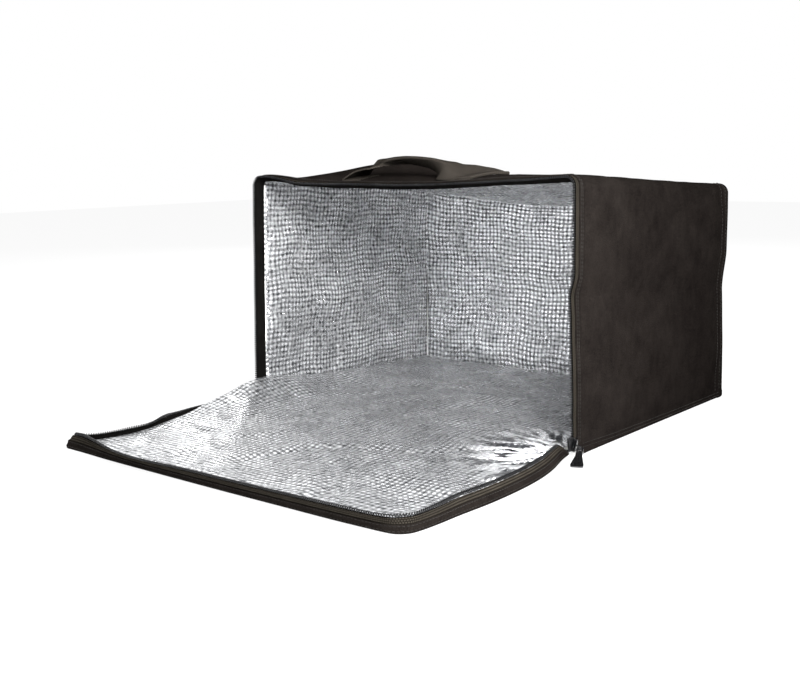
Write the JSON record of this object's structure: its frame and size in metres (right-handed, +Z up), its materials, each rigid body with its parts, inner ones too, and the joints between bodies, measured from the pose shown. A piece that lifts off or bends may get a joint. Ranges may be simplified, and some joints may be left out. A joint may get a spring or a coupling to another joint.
{
  "type": "front-opening insulated carrying bag",
  "caption": "Soft insulated box bag with a zipped front flap laid open, a silvery quilted lining and webbing handles on top.",
  "frame": {"origin": "middle of the closed bag's footprint, on the surface it stands on", "axes": "+Z up, -Y out of the opening, towards the laid-out flap, +X to the right seen from the front"},
  "size_m": [0.5248, 0.69, 0.3311],
  "materials": {
    "outer": "matt coated cloth",
    "band": "matt coated cloth",
    "tape": "woven zip tape",
    "coil": "moulded coil",
    "foam": "closed-cell foam",
    "lining": "embossed foil film",
    "webbing": "woven webbing",
    "metal": "gloss black"
  },
  "bodies": {
    "body": {"outer_bottom": "outer", "foam_bottom": "foam", "lining_bottom": "lining", "outer_left": "outer", "foam_left": "foam", "lining_left": "lining", "outer_right": "outer", "foam_right": "foam", "lining_right": "lining", "outer_back": "outer", "foam_back": "foam", "lining_back": "lining", "outer_top": "outer", "foam_top": "foam", "lining_top": "lining", "front_band_left": "band", "front_band_right": "band", "front_band_top": "band", "zip_tape_body": "tape", "zip_coil_body": "coil", "handle_front_end_left": "webbing", "handle_front_end_right": "webbing", "handle_rear_end_left": "webbing", "handle_rear_end_right": "webbing"},
    "flap": {"outer_flap": "outer", "foam_flap": "foam", "lining_flap": "lining", "lip_left": "band", "lip_right": "band", "lip_front": "band", "zip_tape_flap": "tape", "zip_coil_flap": "coil"},
    "slider": {"slider_body": "metal", "slider_bail": "metal"},
    "puller": {"puller": "metal"},
    "handle_front": {"handle_front_grip": "webbing"},
    "handle_rear": {"handle_rear_grip": "webbing"}
  },
  "joints": [
    {"name": "flap_hinge", "type": "hinge", "parent": "body", "child": "flap", "pos_m": [0, -0.2, 0.0006], "axis": [-1, 0, 0], "range_deg": [0, 90]},
    {"name": "slider_slide", "type": "slide", "parent": "body", "child": "slider", "axis": [0, 0, 1], "range_m": [0, 0.25]},
    {"name": "puller_hinge", "type": "hinge", "parent": "slider", "child": "puller", "pos_m": [0.2547, -0.1856, 0.01184], "axis": [-0.9171, -0.3987, 0], "range_deg": [0, 100]},
    {"name": "front_handle_swing", "type": "hinge", "parent": "body", "child": "handle_front", "pos_m": [0, -0.135, 0.29986], "axis": [1, 0, 0], "range_deg": [-50, 55]},
    {"name": "rear_handle_swing", "type": "hinge", "parent": "body", "child": "handle_rear", "pos_m": [0, 0.15, 0.26918], "axis": [1, 0, 0], "range_deg": [-78, 30]}
  ]
}
